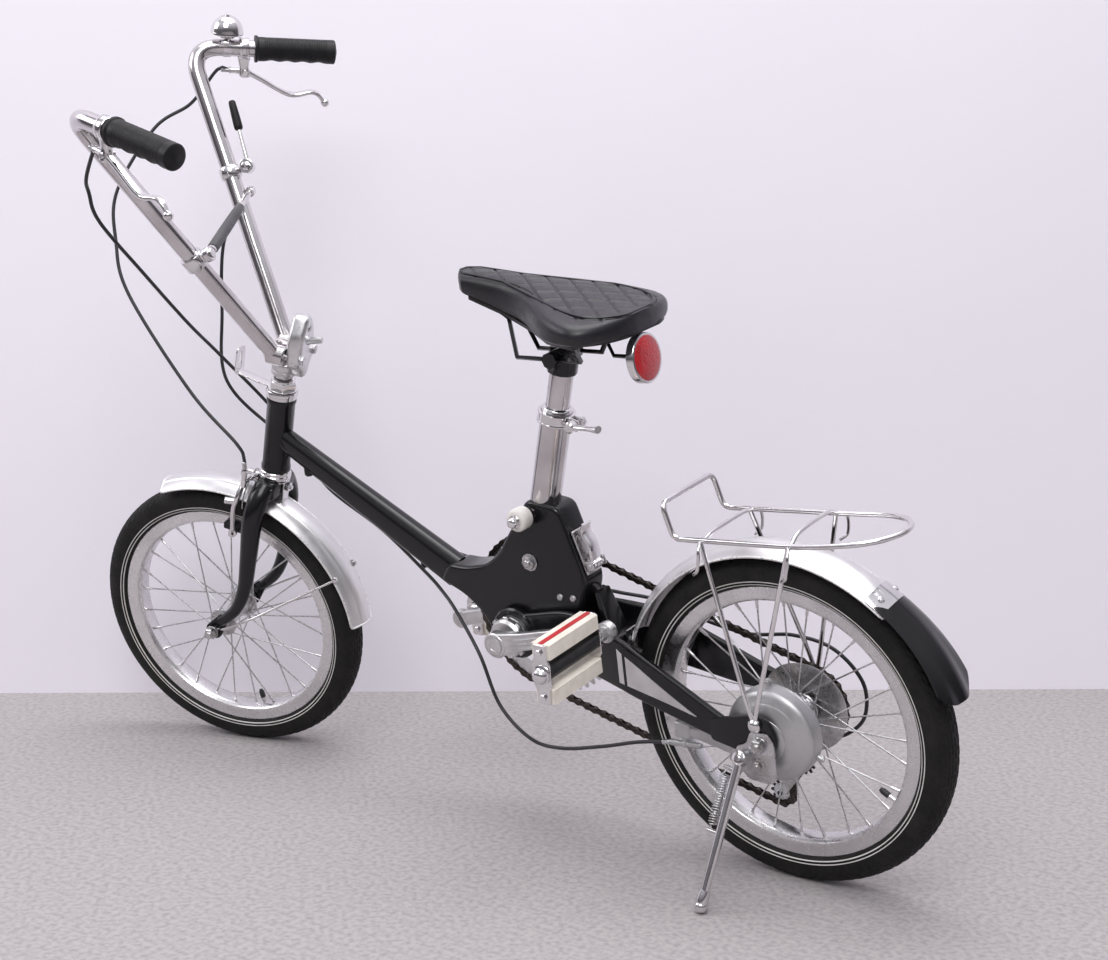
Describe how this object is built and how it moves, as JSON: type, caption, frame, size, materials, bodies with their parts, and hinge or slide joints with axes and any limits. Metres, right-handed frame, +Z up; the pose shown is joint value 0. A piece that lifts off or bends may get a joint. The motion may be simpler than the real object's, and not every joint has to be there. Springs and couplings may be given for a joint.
{
  "type": "folding bicycle",
  "caption": "Folding bicycle with small wheels, a rear arm and bars that fold, carrier, mudguards, band brake and a stand, set down with its front wheel turned.",
  "frame": {"origin": "middle of the bounding box's foot, on the ground under the bike", "axes": "+X forward along the bike, +Y to its left, +Z up"},
  "size_m": [1.2946, 0.583, 1.0149],
  "materials": {
    "band_brake": "cast, satin",
    "band_brake_lever": "plated",
    "bell": "polished",
    "bell_lever": "polished",
    "box_bolt": "plated",
    "caliper_arm_left": "polished",
    "caliper_arm_right": "polished",
    "carrier": "plated wire",
    "chain": "oiled",
    "crank_left": "satin",
    "crank_right": "satin",
    "derailleur": "plated",
    "fork": "gloss black",
    "frame_shell": "gloss black",
    "freewheel": "dark",
    "front_axle": "plated",
    "front_brake_cable": "smooth",
    "front_hub": "plated",
    "front_mudguard": "silver",
    "front_rim": "satin",
    "front_tyre": "matt, pale stripes",
    "headset_locknut": "polished",
    "kickstand_bracket": "plated",
    "kickstand_leg": "polished",
    "kickstand_spring": "wire",
    "latch_base": "cast",
    "latch_lever": "pressed",
    "left_bar": "polished",
    "left_brake_lever": "polished",
    "left_grip": "ribbed",
    "left_lever_mount": "cast",
    "mud_flap": "matt",
    "pedal_left": "cream blocks",
    "pedal_right": "cream blocks",
    "rear_arm": "gloss black",
    "rear_axle": "plated",
    "rear_brake_cable": "smooth",
    "rear_hub": "plated",
    "rear_mudguard": "silver",
    "rear_rim": "satin",
    "rear_tyre": "matt, pale stripes",
    "reflector": "red lens",
    "right_bar": "polished",
    "right_brake_lever": "polished",
    "right_grip": "ribbed",
    "right_lever_mount": "cast",
    "roller": "white",
    "roller_axle": "polished",
    "saddle_base": "plated",
    "saddle_cushion": "black vinyl, quilted",
    "seat_clamp": "polished",
    "seat_lever": "plated",
    "seat_post": "polished",
    "seat_tube": "polished",
    "shift_cable": "smooth",
    "shift_lever": "plated",
    "stay_rod": "black sleeve",
    "stem_head": "cast, satin"
  },
  "bodies": {
    "frame": {"frame_shell": "frame_shell", "box_bolt": "box_bolt", "latch_base": "latch_base", "rear_brake_cable": "rear_brake_cable", "roller_axle": "roller_axle", "seat_clamp": "seat_clamp", "seat_tube": "seat_tube", "shift_cable": "shift_cable"},
    "steering": {"fork": "fork", "front_axle": "front_axle", "front_brake_cable": "front_brake_cable", "front_mudguard": "front_mudguard", "headset_locknut": "headset_locknut", "stem_head": "stem_head"},
    "front_wheel": {"front_hub": "front_hub", "front_rim": "front_rim", "front_tyre": "front_tyre"},
    "caliper_arm_left": {"caliper_arm_left": "caliper_arm_left"},
    "caliper_arm_right": {"caliper_arm_right": "caliper_arm_right"},
    "left_bar": {"left_bar": "left_bar", "left_grip": "left_grip", "left_lever_mount": "left_lever_mount"},
    "right_bar": {"right_bar": "right_bar", "right_grip": "right_grip", "right_lever_mount": "right_lever_mount", "bell": "bell"},
    "left_brake_lever": {"left_brake_lever": "left_brake_lever"},
    "right_brake_lever": {"right_brake_lever": "right_brake_lever"},
    "stay_rod": {"stay_rod": "stay_rod"},
    "shift_lever": {"shift_lever": "shift_lever"},
    "bell_lever": {"bell_lever": "bell_lever"},
    "rear_arm": {"rear_arm": "rear_arm", "band_brake": "band_brake", "carrier": "carrier", "chain": "chain", "derailleur": "derailleur", "kickstand_bracket": "kickstand_bracket", "mud_flap": "mud_flap", "rear_axle": "rear_axle", "rear_mudguard": "rear_mudguard"},
    "rear_wheel": {"rear_hub": "rear_hub", "rear_rim": "rear_rim", "rear_tyre": "rear_tyre"},
    "freewheel": {"freewheel": "freewheel"},
    "kickstand_leg": {"kickstand_leg": "kickstand_leg", "kickstand_spring": "kickstand_spring"},
    "band_brake_lever": {"band_brake_lever": "band_brake_lever"},
    "crank": {"crank_left": "crank_left", "crank_right": "crank_right"},
    "pedal_left": {"pedal_left": "pedal_left"},
    "pedal_right": {"pedal_right": "pedal_right"},
    "seat_post": {"seat_post": "seat_post", "saddle_base": "saddle_base", "saddle_cushion": "saddle_cushion", "reflector": "reflector"},
    "seat_lever": {"seat_lever": "seat_lever"},
    "roller": {"roller": "roller"},
    "latch_lever": {"latch_lever": "latch_lever"}
  },
  "joints": [
    {"name": "steering", "type": "hinge", "parent": "frame", "child": "steering", "pos_m": [0.33058, -0.05807, 0.41807], "axis": [-0.3139, 0.1714, 0.9339], "range_deg": [-50, 45], "deforming": ["front_brake_cable", "rear_brake_cable", "shift_cable"]},
    {"name": "front_wheel", "type": "hinge", "parent": "steering", "child": "front_wheel", "pos_m": [0.45218, -0.08693, 0.19503], "axis": [-0.2425, 0.9365, -0.2534], "continuous": true},
    {"name": "caliper_arm_left", "type": "hinge", "parent": "steering", "child": "caliper_arm_left", "pos_m": [0.33748, -0.06184, 0.39753], "axis": [0.918, 0.306, 0.2524], "range_deg": [-0.6, 0]},
    {"name": "caliper_arm_right", "type": "hinge", "parent": "steering", "child": "caliper_arm_right", "pos_m": [0.33748, -0.06184, 0.39753], "axis": [0.918, 0.306, 0.2524], "range_deg": [0, 0.6]},
    {"name": "left_bar_fold", "type": "hinge", "parent": "steering", "child": "left_bar", "pos_m": [0.2678, -0.00923, 0.57647], "axis": [-0.8791, -0.4241, -0.2176], "range_deg": [0, 120]},
    {"name": "right_bar_fold", "type": "hinge", "parent": "steering", "child": "right_bar", "pos_m": [0.28287, -0.04658, 0.58839], "axis": [0.8791, 0.4241, 0.2176], "range_deg": [0, 120]},
    {"name": "left_brake_lever", "type": "hinge", "parent": "left_bar", "child": "left_brake_lever", "pos_m": [0.25378, 0.26839, 0.82946], "axis": [0.0649, 0.9851, -0.159], "range_deg": [0, 16], "stiffness_Nm_per_rad": 1, "springref_deg": -5.73},
    {"name": "right_brake_lever", "type": "hinge", "parent": "right_bar", "child": "right_brake_lever", "pos_m": [0.39808, -0.08928, 0.94361], "axis": [-0.7091, 0.6117, -0.3506], "range_deg": [0, 16], "stiffness_Nm_per_rad": 1, "springref_deg": -5.73},
    {"name": "stay_rod", "type": "hinge", "parent": "left_bar", "child": "stay_rod", "pos_m": [0.27102, 0.10364, 0.71056], "axis": [-0.8997, -0.2484, 0.3589], "range_deg": [-40, 0]},
    {"name": "shift_lever", "type": "hinge", "parent": "right_bar", "child": "shift_lever", "pos_m": [0.35351, -0.04583, 0.81742], "axis": [0.4577, -0.8785, -0.1367], "range_deg": [0, 90]},
    {"name": "bell_lever", "type": "hinge", "parent": "right_bar", "child": "bell_lever", "pos_m": [0.40055, -0.06164, 0.98682], "axis": [-0.2862, 0.2048, 0.936], "range_deg": [0, 25], "stiffness_Nm_per_rad": 0.05, "springref_deg": -11.46},
    {"name": "rear_arm_fold", "type": "hinge", "parent": "frame", "child": "rear_arm", "pos_m": [-0.07344, -0.08803, 0.25484], "axis": [0, -0.9836, 0.1805], "range_deg": [0, 110]},
    {"name": "rear_wheel", "type": "hinge", "parent": "rear_arm", "child": "rear_wheel", "pos_m": [-0.43844, -0.09849, 0.19783], "axis": [0, 0.9836, -0.1805], "continuous": true},
    {"name": "freewheel", "type": "hinge", "parent": "rear_arm", "child": "freewheel", "pos_m": [-0.43844, -0.09849, 0.19783], "axis": [0, 0.9836, -0.1805], "continuous": true},
    {"name": "kickstand_leg", "type": "hinge", "parent": "rear_arm", "child": "kickstand_leg", "pos_m": [-0.41745, -0.01974, 0.1671], "axis": [0.1805, 0.9294, 0.3218], "range_deg": [0, 96]},
    {"name": "band_brake_lever", "type": "hinge", "parent": "rear_arm", "child": "band_brake_lever", "pos_m": [-0.39544, -0.04348, 0.17349], "axis": [0, -0.9836, 0.1805], "range_deg": [0, 12]},
    {"name": "crank", "type": "hinge", "parent": "frame", "child": "crank", "pos_m": [-0.07344, -0.08803, 0.25484], "axis": [0, 0.9836, -0.1805], "continuous": true},
    {"name": "pedal_left", "type": "hinge", "parent": "crank", "child": "pedal_left", "pos_m": [-0.23996, -0.08025, 0.29721], "axis": [0, 0.9836, -0.1805], "continuous": true},
    {"name": "pedal_right", "type": "hinge", "parent": "crank", "child": "pedal_right", "pos_m": [0.09308, -0.09581, 0.21246], "axis": [0, 0.9836, -0.1805], "continuous": true},
    {"name": "seat_post", "type": "slide", "parent": "frame", "child": "seat_post", "axis": [-0.2739, 0.1736, 0.946], "range_m": [-0.045, 0.06]},
    {"name": "seat_lever", "type": "hinge", "parent": "frame", "child": "seat_lever", "pos_m": [-0.18183, -0.03939, 0.51986], "axis": [0, 0.9836, -0.1805], "range_deg": [0, 90]},
    {"name": "roller", "type": "hinge", "parent": "frame", "child": "roller", "pos_m": [-0.11042, -0.05969, 0.40926], "axis": [0, 0.9836, -0.1805], "continuous": true},
    {"name": "latch_lever", "type": "hinge", "parent": "frame", "child": "latch_lever", "pos_m": [-0.18823, -0.07045, 0.35064], "axis": [0, -0.9836, 0.1805], "range_deg": [0, 90]}
  ],
  "couplings": [
    {"joint": "freewheel", "follows": "crank", "ratio": 2.1667},
    {"joint": "caliper_arm_left", "follows": "right_brake_lever", "ratio": -0.0375},
    {"joint": "caliper_arm_right", "follows": "right_brake_lever", "ratio": 0.0375},
    {"joint": "band_brake_lever", "follows": "left_brake_lever", "ratio": 0.75}
  ]
}
